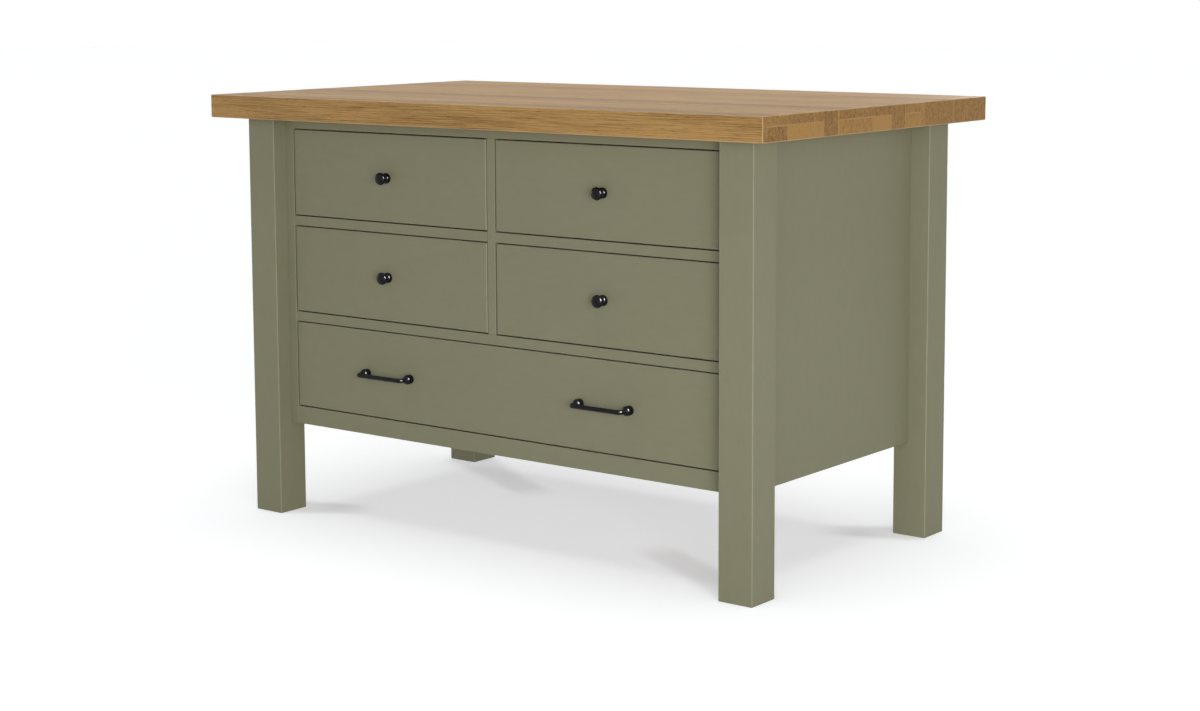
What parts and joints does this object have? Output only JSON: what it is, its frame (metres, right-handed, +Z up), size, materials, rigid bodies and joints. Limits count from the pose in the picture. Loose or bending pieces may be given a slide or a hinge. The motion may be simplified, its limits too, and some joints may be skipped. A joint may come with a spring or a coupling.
{
  "type": "kitchen island unit",
  "caption": "Free-standing kitchen island: oak worktop on square painted legs, face frame with inset drawers on wooden runners, plain end panels, black knobs and bar handles.",
  "frame": {"origin": "on the floor, under the middle of the worktop", "axes": "+X along the drawer side to the right, +Y from the drawer side to the back, +Z up"},
  "size_m": [1.4, 0.82, 0.9],
  "materials": {
    "painted_wood": "satin sage-green paint on wood",
    "oak": "oiled solid oak staves",
    "drawer_wood": "planed, unpainted",
    "plywood": "sanded birch plywood",
    "black_metal": "black, between satin and gloss"
  },
  "bodies": {
    "carcass": {"worktop": "oak", "leg_front_left": "painted_wood", "leg_front_right": "painted_wood", "leg_rear_left": "painted_wood", "leg_rear_right": "painted_wood", "stile_left": "painted_wood", "stile_right": "painted_wood", "top_rail": "painted_wood", "bottom_rail": "painted_wood", "lower_mid_rail": "painted_wood", "centre_stile": "painted_wood", "upper_mid_rail_left": "painted_wood", "upper_mid_rail_right": "painted_wood", "end_panel_left": "painted_wood", "end_panel_right": "painted_wood", "back_panel": "painted_wood", "base_panel": "plywood", "top_runner_left": "drawer_wood", "top_runner_centre": "drawer_wood", "top_runner_right": "drawer_wood", "middle_runner_left": "drawer_wood", "middle_runner_centre": "drawer_wood", "middle_runner_right": "drawer_wood", "bottom_runner_left": "drawer_wood", "bottom_runner_right": "drawer_wood", "kicker_left": "drawer_wood", "kicker_centre": "drawer_wood", "kicker_right": "drawer_wood"},
    "top_left_drawer": {"top_left_drawer_front": "painted_wood", "top_left_drawer_side_left": "drawer_wood", "top_left_drawer_side_right": "drawer_wood", "top_left_drawer_back": "drawer_wood", "top_left_drawer_bottom": "plywood", "top_left_drawer_knob": "black_metal"},
    "top_right_drawer": {"top_right_drawer_front": "painted_wood", "top_right_drawer_side_left": "drawer_wood", "top_right_drawer_side_right": "drawer_wood", "top_right_drawer_back": "drawer_wood", "top_right_drawer_bottom": "plywood", "top_right_drawer_knob": "black_metal"},
    "middle_left_drawer": {"middle_left_drawer_front": "painted_wood", "middle_left_drawer_side_left": "drawer_wood", "middle_left_drawer_side_right": "drawer_wood", "middle_left_drawer_back": "drawer_wood", "middle_left_drawer_bottom": "plywood", "middle_left_drawer_knob": "black_metal"},
    "middle_right_drawer": {"middle_right_drawer_front": "painted_wood", "middle_right_drawer_side_left": "drawer_wood", "middle_right_drawer_side_right": "drawer_wood", "middle_right_drawer_back": "drawer_wood", "middle_right_drawer_bottom": "plywood", "middle_right_drawer_knob": "black_metal"},
    "wide_drawer": {"wide_drawer_front": "painted_wood", "wide_drawer_side_left": "drawer_wood", "wide_drawer_side_right": "drawer_wood", "wide_drawer_back": "drawer_wood", "wide_drawer_bottom": "plywood", "wide_drawer_muntin": "drawer_wood", "wide_drawer_handle_left": "black_metal", "wide_drawer_handle_right": "black_metal"}
  },
  "joints": [
    {"name": "top_left_drawer_slide", "type": "slide", "parent": "carcass", "child": "top_left_drawer", "axis": [0, -1, 0], "range_m": [0, 0.4]},
    {"name": "top_right_drawer_slide", "type": "slide", "parent": "carcass", "child": "top_right_drawer", "axis": [0, -1, 0], "range_m": [0, 0.4]},
    {"name": "middle_left_drawer_slide", "type": "slide", "parent": "carcass", "child": "middle_left_drawer", "axis": [0, -1, 0], "range_m": [0, 0.4]},
    {"name": "middle_right_drawer_slide", "type": "slide", "parent": "carcass", "child": "middle_right_drawer", "axis": [0, -1, 0], "range_m": [0, 0.4]},
    {"name": "wide_drawer_slide", "type": "slide", "parent": "carcass", "child": "wide_drawer", "axis": [0, -1, 0], "range_m": [0, 0.4]}
  ]
}
